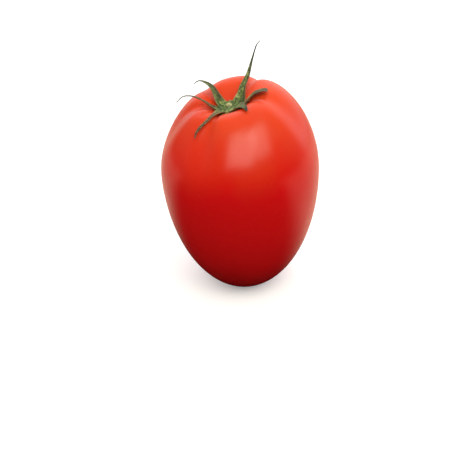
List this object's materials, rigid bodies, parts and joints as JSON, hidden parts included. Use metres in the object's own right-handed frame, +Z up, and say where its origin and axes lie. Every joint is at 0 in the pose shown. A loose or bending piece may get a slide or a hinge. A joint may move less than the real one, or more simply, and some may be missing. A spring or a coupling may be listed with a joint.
{
  "type": "tomato",
  "caption": "Ripe plum tomato standing on a small flat spot at its blossom end, with a lobed top, a star of curled sepals and a short cut stem stub.",
  "frame": {"origin": "middle of the small flat spot at the blossom end that the fruit stands on", "axes": "+Z up towards the stem, -Y towards the viewer of the picture, +X to that viewer's right"},
  "size_m": [0.0561, 0.0561, 0.0903],
  "materials": {
    "tomato_skin": "smooth waxy skin, orange red at the shoulders and deep red below",
    "sepal_green": "matt and finely haired, drying to brown at the tips",
    "cut_stem": "matt, pale on the cut end"
  },
  "bodies": {
    "root": {"fruit": "tomato_skin", "calyx": "sepal_green", "stem": "cut_stem"}
  },
  "joints": []
}
